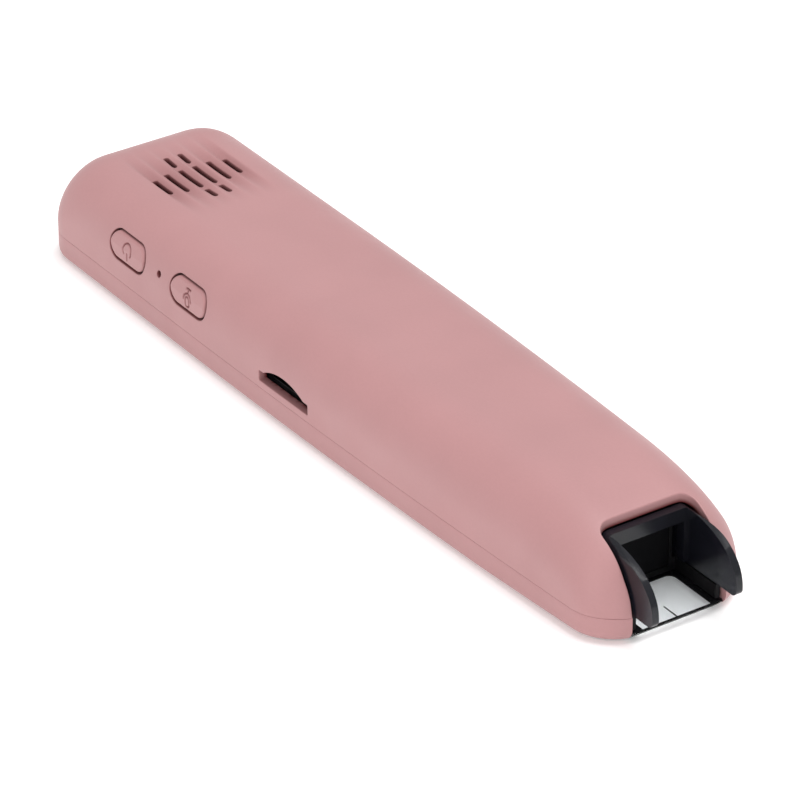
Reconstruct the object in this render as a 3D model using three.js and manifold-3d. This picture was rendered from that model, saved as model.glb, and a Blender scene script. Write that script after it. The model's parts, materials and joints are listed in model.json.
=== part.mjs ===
// A pocket scanning reader pen, lying on its screen face. Millimetres.
// +X runs along the pen to the scan tip, +Z goes from the screen glass up to the back, and the
// buttons and the card slot are on the -Y side. The origin is under the middle of the whole pen.
import * as THREE from "three";
import { mergeVertices } from "three/addons/utils/BufferGeometryUtils.js";
import Module from "manifold-3d";

const wasm = await Module();
wasm.setup();

// ---- Driving dimensions of the housing
const LENGTH = 140;
const REAR_X = -LENGTH / 2;
const TIP_X = LENGTH / 2;
const THICKNESS = 15.8;
const HALF_WIDTH = 15.15;
const BOW_START_X = -30; // from here the sides bow inwards towards the tip
const BOW_RADIUS = 1680;
const REAR_CORNER = 6.4; // plan radius of the two rear corners
const REAR_ROLL = 9.7; // radius by which the back rolls down to the rear end
const NOSE_START_X = 40; // from here the back curves down
const NOSE_X = 66.5; // front of the two shells; only the hood's cheeks reach further
const NOSE_CORNER = 6.9; // plan radius of the two front corners
const NOSE_POWER = 2.6; // exponent of the nose's side profile
const NOSE_FOOT_Z = 4; // height at which the nose profile stands upright
const BACK_FILLET = 8.2; // radius between the back and the sides
const NOSE_FILLET = 8; // what that radius shrinks to at the nose
const FOOT_FILLET = 1.26; // radius between the sides and the screen face
const NOSE_FOOT_FILLET = 2.1; // what that radius grows to at the nose
const WALL = 1.3;
const PARTING_Z = 3.9;
const PARTING_GAP = 0.15;

// ---- Openings of the rear shell
const MOUTH = { rearX: 57.8, halfWidth: 7.55, corner: 1.7 };
const SIDE_KEY = { length: 9.6, height: 4.6, z: 9.5, gap: 0.3, travel: 0.4 };
const POWER_X = -45.9;
const VOICE_X = -29.6;
const MIC = { x: -37.4, z: 9.7, hole: 1.1 };
const CARD_SLOT = { x0: -11, x1: 1, z0: 5, z1: 6.6 };
const CARD_NOTCH = { x: -5, radius: 10, rise: 1.3, depth: 3 };
const USB_PORT = { z: 6.65, halfWidth: 4.65, halfHeight: 1.75 };
const GRILLE = { x: -50.5, pitch: 2.37, width: 0.95, bridge: 0.98 };
const GRILLE_ROWS = [[4.9], [6.35], [3, 6.24, 3], [3, 6.24, 3], [6.35], [4.9]];

// ---- Screen side
const GLASS = { top: 1.1, inset: 1.72, tongueHalfWidth: 7.35, tongueInset: 0.2 };
const MASK = { z0: 1.12, z1: 1.24 };
const SIGHT_WINDOW = { x0: 57, x1: 65.72, halfWidth: 5.5, corner: 1.1 };
const AIM_MARK = { length: 3, width: 0.14 };
const SCREEN = { x0: -34, x1: 45, halfWidth: 9.2, corner: 1 };
const FRAME_POCKET = { inset: 1.6, ledgeInset: 3.2, ledgeZ0: 1.35, ledgeZ1: 2.3, tipHalfWidth: 7.5 };

// ---- Scan hood
const HOOD = {
  tailX: 51, halfWidth: 7.25, inner: 6.2, bottomZ: 4, travel: 1, shoulder: 1.7,
  rimStartX: 57.8, rimPower: 2.25, rimFootZ: 5, rimTopZ: 12.42,
  wallX0: 58, wallX1: 59.2, postWidth: 0.45, apertureZ: 10.3,
};

// ---- Boards
const BOARD = { z0: 4.2, z1: 5 };
const ON_BOARD = BOARD.z1 + 0.05; // underside of what is soldered to a board

const COLOURS = {
  shell: ["#cfa1a2", 0.62, 0],
  black: ["#101114", 0.55, 0],
  smoke: ["#2b2e35", 0.25, 0],
  glass: ["#c9d3da", 0.08, 0],
  mask: ["#0a0b0d", 0.3, 0],
  board: ["#15171a", 0.5, 0],
  chip: ["#17181a", 0.4, 0],
  steel: ["#b9bcc0", 0.35, 1],
  copper: ["#b8793f", 0.4, 1],
  cell: ["#a9adb3", 0.45, 0.6],
  foam: ["#2a2a2c", 0.95, 0],
  white: ["#e9e9e4", 0.5, 0],
  screen: ["#0d1016", 0.15, 0],
};

const pen = new THREE.Group();

// ---- Solids from three.js geometry, and back

function toSolid(geometry) {
  const loose = geometry.index ? geometry.toNonIndexed() : geometry;
  const bare = new THREE.BufferGeometry();
  bare.setAttribute("position", loose.getAttribute("position"));
  const merged = mergeVertices(bare, 1e-4);
  return new wasm.Manifold(
    new wasm.Mesh({
      numProp: 3,
      vertProperties: merged.attributes.position.array,
      triVerts: new Uint32Array(merged.index.array),
    }),
  );
}

function toGeometry(solid) {
  const mesh = solid.getMesh();
  const geometry = new THREE.BufferGeometry();
  geometry.setAttribute("position", new THREE.BufferAttribute(mesh.vertProperties, 3));
  geometry.setIndex(new THREE.BufferAttribute(mesh.triVerts, 1));
  geometry.computeVertexNormals();
  return geometry;
}

function add(name, colour, shape, parent = pen) {
  const [color, roughness, metalness] = COLOURS[colour];
  const material = new THREE.MeshStandardMaterial({ color, roughness, metalness });
  const mesh = new THREE.Mesh(shape.isBufferGeometry ? shape : toGeometry(shape), material);
  mesh.name = name;
  parent.add(mesh);
  return mesh;
}

function boxGeometry(x0, x1, y0, y1, z0, z1) {
  const box = new THREE.BoxGeometry(x1 - x0, y1 - y0, z1 - z0);
  return box.translate((x0 + x1) / 2, (y0 + y1) / 2, (z0 + z1) / 2);
}

function box(x0, x1, y0, y1, z0, z1) {
  return toSolid(boxGeometry(x0, x1, y0, y1, z0, z1));
}

function roundedRectangle(x0, x1, y0, y1, radius) {
  const shape = new THREE.Shape();
  shape.absarc(x1 - radius, y1 - radius, radius, 0, Math.PI / 2);
  shape.absarc(x0 + radius, y1 - radius, radius, Math.PI / 2, Math.PI);
  shape.absarc(x0 + radius, y0 + radius, radius, Math.PI, 1.5 * Math.PI);
  shape.absarc(x1 - radius, y0 + radius, radius, 1.5 * Math.PI, 2 * Math.PI);
  return shape;
}

// A shape drawn in X and Y, standing from z0 to z1.
function upright(shape, z0, z1, curveSegments = 6) {
  const prism = new THREE.ExtrudeGeometry(shape, { depth: z1 - z0, bevelEnabled: false, curveSegments });
  return toSolid(prism.translate(0, 0, z0));
}

// A shape drawn in X and Z, running from y0 to y1.
function crosswise(shape, y0, y1, curveSegments = 6) {
  const prism = new THREE.ExtrudeGeometry(shape, { depth: y1 - y0, bevelEnabled: false, curveSegments });
  return toSolid(prism.rotateX(Math.PI / 2).translate(0, y1, 0));
}

// A shape drawn in Y and Z, running from x0 to x1.
function lengthwise(shape, x0, x1, curveSegments = 6) {
  const prism = new THREE.ExtrudeGeometry(shape, { depth: x1 - x0, bevelEnabled: false, curveSegments });
  return toSolid(prism.rotateX(Math.PI / 2).rotateZ(Math.PI / 2).translate(x0, 0, 0));
}

function cylinder(radius, x, y, z0, z1, sides = 16) {
  const turned = new THREE.CylinderGeometry(radius, radius, z1 - z0, sides);
  return toSolid(turned.rotateX(Math.PI / 2).translate(x, y, (z0 + z1) / 2));
}

function cylinderAlongY(radius, x, z, y0, y1, sides = 16) {
  const turned = new THREE.CylinderGeometry(radius, radius, y1 - y0, sides);
  return toSolid(turned.translate(x, (y0 + y1) / 2, z));
}

// ---- The housing's outer form, or a smaller one lying `inset` inside it

const circle = (radius, offset) => Math.sqrt(Math.max(0, radius * radius - offset * offset));

function halfWidthAt(x, inset) {
  const bow = Math.max(0, x - BOW_START_X);
  let half = HALF_WIDTH - inset - bow * bow / (2 * BOW_RADIUS);
  const rear = Math.max(0, REAR_X + REAR_CORNER - x);
  const front = Math.max(0, x - (NOSE_X - NOSE_CORNER));
  if (rear > 0) half += circle(REAR_CORNER - inset, rear) - (REAR_CORNER - inset);
  if (front > 0) half += circle(NOSE_CORNER - inset, front) - (NOSE_CORNER - inset);
  return half;
}

function topAt(x, inset) {
  const roll = REAR_ROLL - inset;
  const rear = Math.max(0, REAR_X + REAR_ROLL - x);
  if (rear > 0) return THICKNESS - inset - roll + circle(roll, rear);
  const along = Math.min(1, Math.max(0, x - NOSE_START_X) / (NOSE_X - inset - NOSE_START_X));
  const rise = (1 - along ** NOSE_POWER) ** (1 / NOSE_POWER);
  return NOSE_FOOT_Z + (THICKNESS - inset - NOSE_FOOT_Z) * rise;
}

// Share of the way from the nose's start to its front.
function noseShare(x) {
  return Math.min(1, Math.max(0, (x - NOSE_START_X) / (NOSE_X - NOSE_START_X)));
}

function footAt(x) {
  return FOOT_FILLET + (NOSE_FOOT_FILLET - FOOT_FILLET) * noseShare(x);
}

function bottomAt(x, inset, floor) {
  const foot = footAt(x);
  const fromEnd = Math.min(x - (REAR_X + inset), NOSE_X - inset - x);
  return floor + foot - circle(foot, Math.max(0, foot - fromEnd));
}

function stationsOf(inset) {
  const stations = [];
  const rearSteps = 8;
  const noseSteps = 14;
  const roll = REAR_ROLL - inset;
  for (let i = 0; i <= rearSteps; i++) {
    stations.push(REAR_X + inset + roll * (1 - Math.cos((i / rearSteps) * (Math.PI / 2))));
  }
  const middleStart = REAR_X + REAR_ROLL;
  const middleSteps = 6;
  for (let i = 1; i < middleSteps; i++) {
    stations.push(middleStart + ((NOSE_START_X - middleStart) * i) / middleSteps);
  }
  const nose = NOSE_X - inset - NOSE_START_X;
  for (let i = 0; i <= noseSteps; i++) {
    stations.push(NOSE_START_X + nose * Math.sin((i / noseSteps) * (Math.PI / 2)));
  }
  return stations;
}

// One closed cross-section, anticlockwise as seen from the tip.
function ringAt(x, inset, floor) {
  const half = halfWidthAt(x, inset);
  const top = topAt(x, inset);
  const bottom = bottomAt(x, inset, floor);
  const wanted = BACK_FILLET + (NOSE_FILLET - BACK_FILLET) * noseShare(x) - inset;
  const foot = Math.min(footAt(x), (top - bottom) * 0.3);
  const fillet = Math.min(wanted, half * 0.95, (top - bottom - foot) * 0.95);
  const ring = [];
  const arc = (y, z, radius, from, steps) => {
    for (let i = 0; i <= steps; i++) {
      const angle = from + ((Math.PI / 2) * i) / steps;
      ring.push([x, y + radius * Math.cos(angle), z + radius * Math.sin(angle)]);
    }
  };
  const footSteps = 2;
  const backSteps = 8;
  arc(half - foot, bottom + foot, foot, -Math.PI / 2, footSteps);
  arc(half - fillet, top - fillet, fillet, 0, backSteps);
  arc(fillet - half, top - fillet, fillet, Math.PI / 2, backSteps);
  arc(foot - half, bottom + foot, foot, Math.PI, footSteps);
  return ring;
}

function loft(rings) {
  const points = [];
  const triangle = (a, b, c) => points.push(...a, ...b, ...c);
  const count = rings[0].length;
  for (let i = 0; i + 1 < rings.length; i++) {
    for (let j = 0; j < count; j++) {
      const k = (j + 1) % count;
      triangle(rings[i][j], rings[i][k], rings[i + 1][k]);
      triangle(rings[i][j], rings[i + 1][k], rings[i + 1][j]);
    }
  }
  const first = rings[0];
  const last = rings[rings.length - 1];
  for (let j = 1; j + 1 < count; j++) {
    triangle(first[0], first[j + 1], first[j]);
    triangle(last[0], last[j], last[j + 1]);
  }
  const geometry = new THREE.BufferGeometry();
  geometry.setAttribute("position", new THREE.Float32BufferAttribute(points, 3));
  return toSolid(geometry);
}

function bodySolid(inset, floor = inset) {
  return loft(stationsOf(inset).map((x) => ringAt(x, inset, floor)));
}

// The housing's plan outline, `inset` inside it, standing from z0 to z1.
function planPrism(inset, z0, z1) {
  const stations = stationsOf(inset);
  const far = stations.map((x) => new THREE.Vector2(x, halfWidthAt(x, inset)));
  const near = stations.map((x) => new THREE.Vector2(x, -halfWidthAt(x, inset))).reverse();
  return upright(new THREE.Shape([...near, ...far]), z0, z1);
}

// ---- Housing

function grilleSlots() {
  const slots = [];
  const middle = (GRILLE_ROWS.length - 1) / 2;
  GRILLE_ROWS.forEach((row, index) => {
    const y = (index - middle) * GRILLE.pitch;
    const total = row.reduce((sum, length) => sum + length, 0) + GRILLE.bridge * (row.length - 1);
    let x = GRILLE.x - total / 2;
    for (const length of row) {
      const half = GRILLE.width / 2;
      const outline = roundedRectangle(x, x + length, y - half, y + half, half * 0.99);
      slots.push(upright(outline, THICKNESS - 4, THICKNESS + 1, 3));
      x += length + GRILLE.bridge;
    }
  });
  return slots;
}

function sideKeyOutline(x, margin) {
  const halfLength = SIDE_KEY.length / 2 + margin;
  const halfHeight = SIDE_KEY.height / 2 + margin;
  return roundedRectangle(
    x - halfLength, x + halfLength, SIDE_KEY.z - halfHeight, SIDE_KEY.z + halfHeight, halfHeight * 0.99,
  );
}

function cardNotch() {
  const outline = new THREE.Shape();
  const centreZ = CARD_SLOT.z1 + CARD_NOTCH.rise - CARD_NOTCH.radius;
  const half = Math.acos((CARD_SLOT.z1 - 0.2 - centreZ) / CARD_NOTCH.radius);
  outline.absarc(CARD_NOTCH.x, centreZ, CARD_NOTCH.radius, Math.PI / 2 - half, Math.PI / 2 + half);
  return crosswise(outline, -HALF_WIDTH - 1, -HALF_WIDTH + CARD_NOTCH.depth, 10);
}

function rearShell() {
  let shell = bodySolid(0);
  shell = shell.intersect(box(REAR_X - 1, TIP_X, -20, 20, PARTING_Z + PARTING_GAP / 2, THICKNESS + 1));
  shell = shell.subtract(bodySolid(WALL));
  const mouth = roundedRectangle(
    MOUTH.rearX, TIP_X + 10, -MOUTH.halfWidth, MOUTH.halfWidth, MOUTH.corner,
  );
  const usb = roundedRectangle(
    -USB_PORT.halfWidth, USB_PORT.halfWidth,
    USB_PORT.z - USB_PORT.halfHeight, USB_PORT.z + USB_PORT.halfHeight, USB_PORT.halfHeight * 0.99,
  );
  const cuts = [
    upright(mouth, 0, THICKNESS + 1),
    crosswise(sideKeyOutline(POWER_X, 0), -HALF_WIDTH - 1, -HALF_WIDTH + 4),
    crosswise(sideKeyOutline(VOICE_X, 0), -HALF_WIDTH - 1, -HALF_WIDTH + 4),
    cylinderAlongY(MIC.hole / 2, MIC.x, MIC.z, -HALF_WIDTH - 1, -HALF_WIDTH + 4, 10),
    box(CARD_SLOT.x0, CARD_SLOT.x1, -HALF_WIDTH - 1, -HALF_WIDTH + 3, CARD_SLOT.z0, CARD_SLOT.z1),
    cardNotch(),
    lengthwise(usb, REAR_X - 1, REAR_X + 2.4),
    ...grilleSlots(),
  ];
  for (const cut of cuts) shell = shell.subtract(cut);
  return shell;
}

function frontFrame() {
  let frame = bodySolid(0);
  frame = frame.intersect(box(REAR_X - 1, TIP_X, -20, 20, -1, PARTING_Z - PARTING_GAP / 2));
  const pocket = FRAME_POCKET;
  const cuts = [
    planPrism(pocket.inset, -1, pocket.ledgeZ0),
    planPrism(pocket.ledgeInset, 0, THICKNESS),
    planPrism(pocket.inset, pocket.ledgeZ1, THICKNESS),
    box(SIGHT_WINDOW.x0 - 1, TIP_X, -pocket.tipHalfWidth, pocket.tipHalfWidth, -1, THICKNESS),
  ];
  for (const cut of cuts) frame = frame.subtract(cut);
  return frame;
}

// ---- Screen side

// The pane's outline: inside the frame's pocket, and a tongue that runs out to the tip.
function paneOutline(shrink, z0, z1) {
  const inset = GLASS.tongueInset + shrink;
  const half = GLASS.tongueHalfWidth - shrink;
  const tongue = box(SIGHT_WINDOW.x0 - 1, TIP_X, -half, half, z0, z1).intersect(bodySolid(inset, 0));
  const flatTongue = tongue.intersect(box(REAR_X, TIP_X, -20, 20, z0, z1));
  return planPrism(GLASS.inset + shrink, z0, z1).add(flatTongue);
}

function glassMask() {
  const inset = 0.05;
  const { z0, z1 } = MASK;
  const { x0, x1, halfWidth, corner } = SIGHT_WINDOW;
  const sight = upright(roundedRectangle(x0, x1 + 2 * corner, -halfWidth, halfWidth, corner), 0, 3, 4)
    .intersect(box(x0, x1, -halfWidth, halfWidth, 0, 3));
  const screen = roundedRectangle(SCREEN.x0, SCREEN.x1, -SCREEN.halfWidth, SCREEN.halfWidth, SCREEN.corner);
  const markEnd = x1 + 0.1;
  const mark = box(markEnd - AIM_MARK.length, markEnd, -AIM_MARK.width / 2, AIM_MARK.width / 2, z0, z1);
  return paneOutline(inset, z0, z1)
    .subtract(sight)
    .subtract(upright(screen, 0, 3, 3))
    .add(mark);
}

function displayCable() {
  const thickness = 0.12;
  const bendX = 48;
  const lowZ = 2;
  const highZ = ON_BOARD + 0.1;
  const radius = (highZ - lowZ) / 2;
  const outline = new THREE.Shape();
  outline.moveTo(46.3, lowZ);
  outline.absarc(bendX, lowZ + radius, radius, -Math.PI / 2, Math.PI / 2);
  outline.lineTo(40, highZ);
  outline.lineTo(40, highZ - thickness);
  outline.absarc(bendX, lowZ + radius, radius - thickness, Math.PI / 2, -Math.PI / 2, true);
  outline.lineTo(46.3, lowZ + thickness);
  return crosswise(outline, -4.8, 4.8, 8);
}

// ---- Chassis and boards

const SCREW_PLACES = [[-34, -10.4], [-34, 10.4], [41, -9.6], [41, 9.6]];
const SCREW = { shaft: 0.7, head: 1.3, hole: 0.85, boss: 1.6 };

function midFrame() {
  const z0 = 3.3;
  const z1 = 3.85;
  const frontX = 49.7;
  let frame = planPrism(1.9, z0, z1).intersect(box(REAR_X, frontX, -20, 20, z0, z1));
  frame = frame.subtract(box(45.3, TIP_X, -5.6, 5.6, 0, THICKNESS));
  for (const [x, y] of SCREW_PLACES) {
    frame = frame.add(cylinder(SCREW.boss, x, y, z0, BOARD.z0 - 0.05, 14));
  }
  for (const side of [-1, 1]) {
    const y = side * HOOD_SPRING.y;
    frame = frame.add(box(HOOD_SPRING.x0 - 1.2, HOOD_SPRING.x0 - 0.3, y - 1, y + 1, z0, HOOD_SPRING.z + 1.4));
  }
  for (const [x, y] of SCREW_PLACES) {
    frame = frame.subtract(cylinder(SCREW.hole, x, y, z0 - 1, BOARD.z0 + 1, 12));
  }
  return frame;
}

function mainBoard() {
  const { z0, z1 } = BOARD;
  let board = planPrism(WALL + 0.5, z0, z1).intersect(box(-38, 43.9, -20, 20, z0, z1));
  for (const [x, y] of SCREW_PLACES) {
    board = board.subtract(cylinder(SCREW.hole, x, y, z0 - 1, z1 + 1, 12));
  }
  return board;
}

function screw([x, y]) {
  const tip = 3.4;
  const head = cylinder(SCREW.head, x, y, ON_BOARD, ON_BOARD + 0.75, 14);
  return cylinder(SCREW.shaft, x, y, tip, ON_BOARD + 0.1, 12).add(head);
}

function radioShield() {
  const lid = 6.7;
  const wall = 0.25;
  const room = box(8 + wall, 24 - wall, -9 + wall, 3 - wall, 4, lid - wall);
  return box(8, 24, -9, 3, ON_BOARD, lid).subtract(room);
}

function usbSocket() {
  const rear = -62;
  const front = REAR_X + 0.4;
  const tube = (halfWidth, halfHeight) => {
    const [z0, z1] = [USB_PORT.z - halfHeight, USB_PORT.z + halfHeight];
    return roundedRectangle(-halfWidth, halfWidth, z0, z1, halfHeight * 0.99);
  };
  const room = lengthwise(tube(4.15, 1.28), front - 1, rear - 1);
  return lengthwise(tube(4.45, 1.58), front, rear).subtract(room);
}

function cardSocket() {
  const y0 = -HALF_WIDTH + 1.9;
  const y1 = -1;
  const body = box(CARD_SLOT.x0 - 0.9, CARD_SLOT.x1 + 0.9, y0, y1, ON_BOARD, 6.7);
  return body.subtract(box(CARD_SLOT.x0 + 0.4, CARD_SLOT.x1 - 0.4, y0 - 1, y1 - 1.2, ON_BOARD + 0.4, 6.35));
}

// ---- Speaker

const SPEAKER = { halfLength: 8.3, halfWidth: 6.6, bottomZ: 10.6, topZ: 13.4, corner: 3 };

function speakerOutline(margin) {
  const { halfLength, halfWidth, corner } = SPEAKER;
  return roundedRectangle(
    GRILLE.x - halfLength - margin, GRILLE.x + halfLength + margin,
    -halfWidth - margin, halfWidth + margin, corner + margin,
  );
}

function speakerRing(z0, z1, outer, inner) {
  const room = upright(speakerOutline(inner), z0 - 1, z1 + 1, 4);
  return upright(speakerOutline(outer), z0, z1, 4).subtract(room);
}

function speakerDriver() {
  const body = upright(speakerOutline(0), SPEAKER.bottomZ, SPEAKER.topZ, 4);
  return body.subtract(upright(speakerOutline(-0.8), SPEAKER.topZ - 1, SPEAKER.topZ + 1, 4));
}

function speakerCone() {
  return upright(speakerOutline(-1.1), SPEAKER.topZ - 0.9, SPEAKER.topZ - 0.4, 4);
}

// ---- Side keys

const STEM = { radius: 0.8, y0: -10.9, y1: -10.25 };

function keyCap(x) {
  const faceY = -HALF_WIDTH - 1;
  const flangeY0 = -11.7;
  const flangeY1 = -11;
  const cap = crosswise(sideKeyOutline(x, -SIDE_KEY.gap), faceY, flangeY0 + 0.1).intersect(bodySolid(0.08));
  return cap.add(crosswise(sideKeyOutline(x, 0.6), flangeY0, flangeY1));
}

function tactSwitch(x) {
  const halfLength = 2.2;
  const halfHeight = 1.6;
  return box(x - halfLength, x + halfLength, -9.8, -8.3, SIDE_KEY.z - halfHeight, SIDE_KEY.z + halfHeight);
}

function micBoot() {
  const halfLength = 1.9;
  const halfHeight = 1.9;
  const [z0, z1] = [MIC.z - halfHeight, MIC.z + halfHeight];
  const block = box(MIC.x - halfLength, MIC.x + halfLength, -12.2, -9.6, z0, z1);
  return block.subtract(cylinderAlongY(MIC.hole / 2, MIC.x, MIC.z, -13, -9, 10));
}

// ---- Scan head

const HOOD_SPRING = { x0: 46.6, x1: 50.7, y: 6.72, z: 8, coil: 0.75, wire: 0.16, turns: 5 };

function hoodProfile() {
  const profile = new THREE.Shape();
  const tipRadius = HOOD.rimFootZ - HOOD.bottomZ;
  profile.moveTo(HOOD.tailX, HOOD.bottomZ);
  profile.absarc(TIP_X - tipRadius, HOOD.rimFootZ, tipRadius, -Math.PI / 2, 0);
  const steps = 12;
  const reach = TIP_X - HOOD.rimStartX;
  const rise = HOOD.rimTopZ - HOOD.rimFootZ;
  for (let i = 1; i <= steps; i++) {
    const angle = ((Math.PI / 2) * i) / steps;
    const forward = Math.max(0, Math.cos(angle)) ** (2 / HOOD.rimPower);
    const upward = Math.sin(angle) ** (2 / HOOD.rimPower);
    profile.lineTo(HOOD.rimStartX + reach * forward, HOOD.rimFootZ + rise * upward);
  }
  profile.lineTo(HOOD.tailX, HOOD.rimTopZ);
  return profile;
}

// Two cheeks and their arms, joined over the scan aperture by a bar with a short post at each end.
function scanHood() {
  const half = MOUTH.halfWidth - 0.05;
  const room = roundedRectangle(MOUTH.rearX + 0.05, TIP_X + 10, -half, half, 0.3);
  const tucked = bodySolid(WALL + 0.2, 0).add(upright(room, 0, THICKNESS));
  const { halfWidth, shoulder, rimTopZ, postWidth } = HOOD;
  const arch = roundedRectangle(-halfWidth, halfWidth, HOOD.bottomZ - 4, rimTopZ, shoulder);
  const between = (x0, x1, y, z1) => box(x0, x1, -y, y, 0, z1);
  return crosswise(hoodProfile(), -halfWidth, halfWidth, 4)
    .intersect(lengthwise(arch, HOOD.tailX - 1, TIP_X + 1, 5))
    .subtract(between(HOOD.wallX1, TIP_X + 1, HOOD.inner, THICKNESS))
    .subtract(between(HOOD.tailX - 1, HOOD.wallX0, HOOD.inner, THICKNESS))
    .subtract(between(HOOD.wallX0 - 1, HOOD.wallX1 + 1, HOOD.inner - postWidth, HOOD.apertureZ))
    .intersect(tucked);
}

function hoodSpring(side) {
  class Helix extends THREE.Curve {
    getPoint(t, target = new THREE.Vector3()) {
      const angle = 2 * Math.PI * HOOD_SPRING.turns * t;
      return target.set(
        HOOD_SPRING.x0 + (HOOD_SPRING.x1 - HOOD_SPRING.x0) * t,
        side * HOOD_SPRING.y + HOOD_SPRING.coil * Math.cos(angle),
        HOOD_SPRING.z + HOOD_SPRING.coil * Math.sin(angle),
      );
    }
  }
  const wire = new THREE.Shape();
  const sides = 5;
  for (let i = 0; i < sides; i++) {
    const angle = (2 * Math.PI * i) / sides;
    wire[i ? "lineTo" : "moveTo"](HOOD_SPRING.wire * Math.cos(angle), HOOD_SPRING.wire * Math.sin(angle));
  }
  return new THREE.ExtrudeGeometry(wire, { steps: HOOD_SPRING.turns * 10, extrudePath: new Helix() });
}

function opticsBaffle() {
  const front = 56.6;
  const back = 53.6;
  const half = 5.85;
  const floor = MASK.z1 + 0.2;
  const skirt = { inner: 6.4, outer: 7.1, x0: 54, x1: 65.4, top: HOOD.bottomZ - 0.5 };
  let baffle = box(back, front, -half, half, floor, 10.9);
  baffle = baffle.subtract(box(back - 1, front + 1, -half + 0.5, half - 0.5, floor + 0.85, 10.4));
  for (const side of [-1, 1]) {
    const span = (a, b) => (side < 0 ? [-b, -a] : [a, b]);
    baffle = baffle.add(box(skirt.x0, skirt.x1, ...span(skirt.inner, skirt.outer), floor, skirt.top));
    baffle = baffle.add(box(skirt.x0, front, ...span(half - 0.2, skirt.outer), floor, skirt.top));
  }
  return baffle;
}

function triggerSwitch() {
  const plungerX = HOOD.tailX - HOOD.travel - 0.05;
  return box(47, 49.5, 6, 9.4, ON_BOARD, 6.8).add(box(49.4, plungerX, 6.3, 7.2, 5.5, 6.3));
}

// The camera and its lights look down and forward at the page. Their group's +X is the line of sight.
function addCamera() {
  const tilt = THREE.MathUtils.degToRad(35);
  const camera = new THREE.Group();
  camera.position.set(50.9, 0, 9);
  camera.rotation.y = tilt;
  pen.add(camera);
  const barrelRadius = 2.6;
  const barrelLength = 4.3;
  const along = (radius, x0, x1, sides) => {
    const turned = new THREE.CylinderGeometry(radius, radius, x1 - x0, sides);
    return toSolid(turned.rotateZ(Math.PI / 2).translate((x0 + x1) / 2, 0, 0));
  };
  add("camera_board", "board", box(-0.9, -0.1, -3.4, 3.4, -3.2, 3.2), camera);
  const bore = along(1.5, barrelLength - 1.2, barrelLength + 1, 16);
  add("camera_barrel", "black", along(barrelRadius, 0, barrelLength, 20).subtract(bore), camera);
  add("camera_lens", "glass", along(1.35, barrelLength - 1.1, barrelLength - 0.3, 16), camera);
  const plate = box(2.7, 3.2, -5.2, 5.2, -3, 3).subtract(along(barrelRadius + 0.3, 0, barrelLength, 20));
  add("led_board", "board", plate, camera);
  for (const [name, side] of [["led_left", -1], ["led_right", 1]]) {
    add(name, "white", boxGeometry(3.25, 4.1, side * 4.2 - 0.8, side * 4.2 + 0.8, -0.9, 0.9), camera);
  }
}

// ---- The whole pen

add("rear_shell", "shell", rearShell());
add("front_frame", "shell", frontFrame());

add("cover_glass", "glass", paneOutline(0, 0, GLASS.top));
add("glass_mask", "mask", glassMask());
add("lcd_panel", "screen", boxGeometry(-36, 46, -9.8, 9.8, 1.4, 2.5));
add("lcd_backlight", "white", boxGeometry(-36, 46, -9.8, 9.8, 2.6, 3.2));
add("display_cable", "copper", displayCable());

add("mid_frame", "steel", midFrame());
add("main_board", "board", mainBoard());
add("processor_chip", "chip", boxGeometry(11, 21, -7, 1, ON_BOARD, 6));
add("memory_chip", "chip", boxGeometry(27, 35, -5, 3, ON_BOARD, 6));
add("radio_shield", "steel", radioShield());
SCREW_PLACES.forEach((place, index) => add(`screw_${index + 1}`, "steel", screw(place)));
add("antenna_flex", "copper", boxGeometry(-30, -6, 13.5, 13.65, 5.2, 7.8));

add("battery_cell", "cell", upright(roundedRectangle(-15, 37, -9.3, 9.3, 1.2), 7.3, 12.7, 3));
add("battery_board", "board", boxGeometry(37.3, 39.6, -6, 6, 8.2, 11.6));
add("battery_pad", "foam", boxGeometry(-5, 27, -5, 5, 12.85, 14.3));
add("battery_connector", "white", boxGeometry(29, 33, 5, 10, ON_BOARD, 6.6));

add("speaker_driver", "chip", speakerDriver());
add("speaker_cone", "black", speakerCone());
add("speaker_gasket", "foam", speakerRing(SPEAKER.topZ + 0.05, 14.2, 0.2, -0.8));
add("speaker_mesh", "black", upright(speakerOutline(0.1), 14.25, 14.37, 4));

for (const [name, x] of [["power", POWER_X], ["voice", VOICE_X]]) {
  add(`${name}_button`, "shell", keyCap(x));
  add(`${name}_stem`, "white", cylinderAlongY(STEM.radius, x, SIDE_KEY.z, STEM.y0, STEM.y1, 12));
  add(`${name}_switch`, "steel", tactSwitch(x));
}
add("key_board", "board", boxGeometry(-52, -23.5, -8.2, -7.4, 6.9, 12.1));
add("microphone", "steel", boxGeometry(MIC.x - 1.9, MIC.x + 1.9, -9.5, -8.3, MIC.z - 1.4, MIC.z + 1.4));
add("mic_boot", "foam", micBoot());

add("card_socket", "steel", cardSocket());
add("usb_board", "board", boxGeometry(-68, -42, -8.4, 8.4, BOARD.z0, BOARD.z1));
add("usb_socket", "steel", usbSocket());
add("usb_tongue", "black", boxGeometry(REAR_X + 1, -63.1, -3.3, 3.3, USB_PORT.z - 0.35, USB_PORT.z + 0.35));

add("scan_hood", "smoke", scanHood());
add("hood_spring_left", "steel", hoodSpring(-1));
add("hood_spring_right", "steel", hoodSpring(1));
add("optics_baffle", "black", opticsBaffle());
add("optics_window", "smoke", boxGeometry(56.1, 56.45, -5.3, 5.3, MASK.z1 + 1.1, 10.35));
add("trigger_board", "board", boxGeometry(46.9, 49.6, 5.7, 10, BOARD.z0, BOARD.z1));
add("trigger_switch", "black", triggerSwitch());
addCamera();

export default pen;
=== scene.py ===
"""A pocket scanning reader pen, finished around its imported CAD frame. Metres, +Z up, +X towards the tip."""
import json
import math

import bmesh
import bpy
import numpy as np
from mathutils import Matrix, Vector
from mathutils.geometry import delaunay_2d_cdt
from mathutils.kdtree import KDTree


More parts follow.
